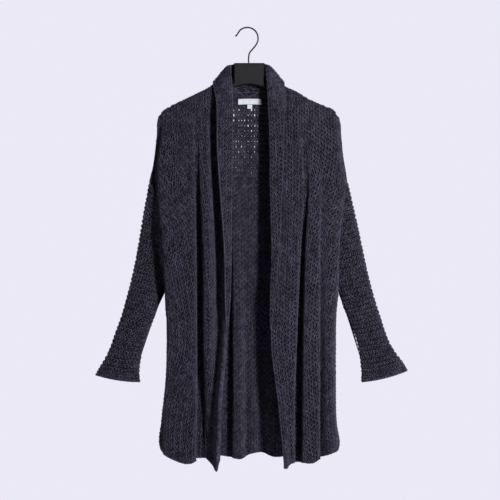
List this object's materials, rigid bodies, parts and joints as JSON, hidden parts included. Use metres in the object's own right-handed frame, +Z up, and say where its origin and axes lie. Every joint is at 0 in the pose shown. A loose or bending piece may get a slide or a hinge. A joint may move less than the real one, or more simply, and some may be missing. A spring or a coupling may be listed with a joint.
{
  "type": "cardigan on a hanger",
  "caption": "Long open cardigan of chunky dark knit with a shawl collar and dropped sleeves, hanging flat on a plain black hanger with a wire hook.",
  "frame": {"origin": "inside top of the hanger's hook, where a rail or peg carries it", "axes": "+Z up, the front of the garment faces -Y, the wearer's left is at +X"},
  "size_m": [0.709, 0.1237, 1.0056],
  "materials": {
    "knit": "chunky open knit of dark blue-grey yarn, matt with a soft nap",
    "tape": "white woven tape, satin",
    "hanger_black": "matt black moulding",
    "hook_wire": "black lacquered wire, glossy"
  },
  "bodies": {
    "root": {"back": "knit", "front_right": "knit", "front_left": "knit", "sleeve_right": "knit", "sleeve_left": "knit", "collar_right": "knit", "collar_left": "knit", "neck_label": "tape", "size_tab": "tape", "hanger_body": "hanger_black", "hanger_hook": "hook_wire"}
  },
  "joints": []
}
